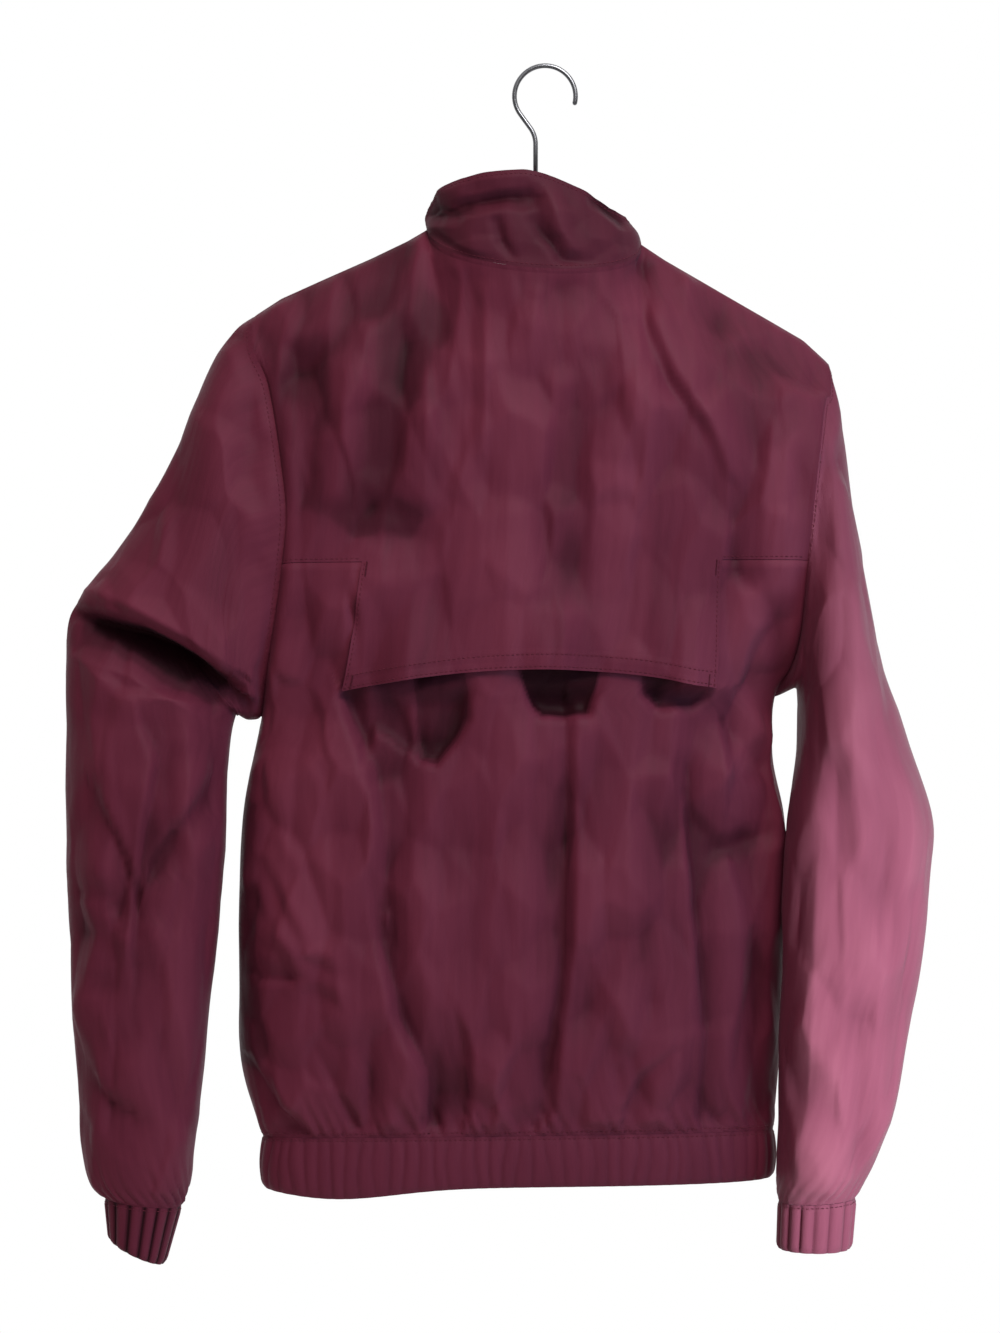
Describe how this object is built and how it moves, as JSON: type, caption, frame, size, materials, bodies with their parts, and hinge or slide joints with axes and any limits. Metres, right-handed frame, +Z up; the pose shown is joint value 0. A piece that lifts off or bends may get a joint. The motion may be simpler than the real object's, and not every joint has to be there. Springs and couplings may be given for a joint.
{
  "type": "windbreaker on a hanger",
  "caption": "Long-sleeved zip-front windbreaker in thin nylon, with a stand collar, a back storm flap and a gathered hem band and cuffs, hanging on a hooked hanger.",
  "frame": {"origin": "where a rail bears on the inside of the hook, at its top", "axes": "+Z up, +Y towards the garment's back with its storm flap, -Y towards its zip, +X towards the wearer's left"},
  "size_m": [0.6185, 0.1388, 0.8635],
  "materials": {
    "burgundy_nylon": "thin crinkled nylon with a soft sheen",
    "zip_tape": "matt woven tape",
    "zip_metal": "satin",
    "hanger_plastic": "matt",
    "hook_steel": "bright"
  },
  "bodies": {
    "windbreaker": {"back_panel": "burgundy_nylon", "back_yoke": "burgundy_nylon", "front_left": "burgundy_nylon", "front_right": "burgundy_nylon", "sleeve_left": "burgundy_nylon", "sleeve_right": "burgundy_nylon", "collar": "burgundy_nylon", "hem_band": "burgundy_nylon", "cuff_left": "burgundy_nylon", "cuff_right": "burgundy_nylon", "zip_tape_left": "zip_tape", "zip_tape_right": "zip_tape", "zip_chain": "zip_metal", "zip_box": "zip_metal", "zip_slider": "zip_metal", "hanger_arms": "hanger_plastic", "hanger_hook": "hook_steel"},
    "pull_tab": {"zip_pull": "zip_metal"}
  },
  "joints": [
    {"name": "pull_tab_hinge", "type": "hinge", "parent": "windbreaker", "child": "pull_tab", "pos_m": [0.01, -0.04485, -0.15135], "axis": [-1, 0, 0], "range_deg": [0, 170]}
  ]
}
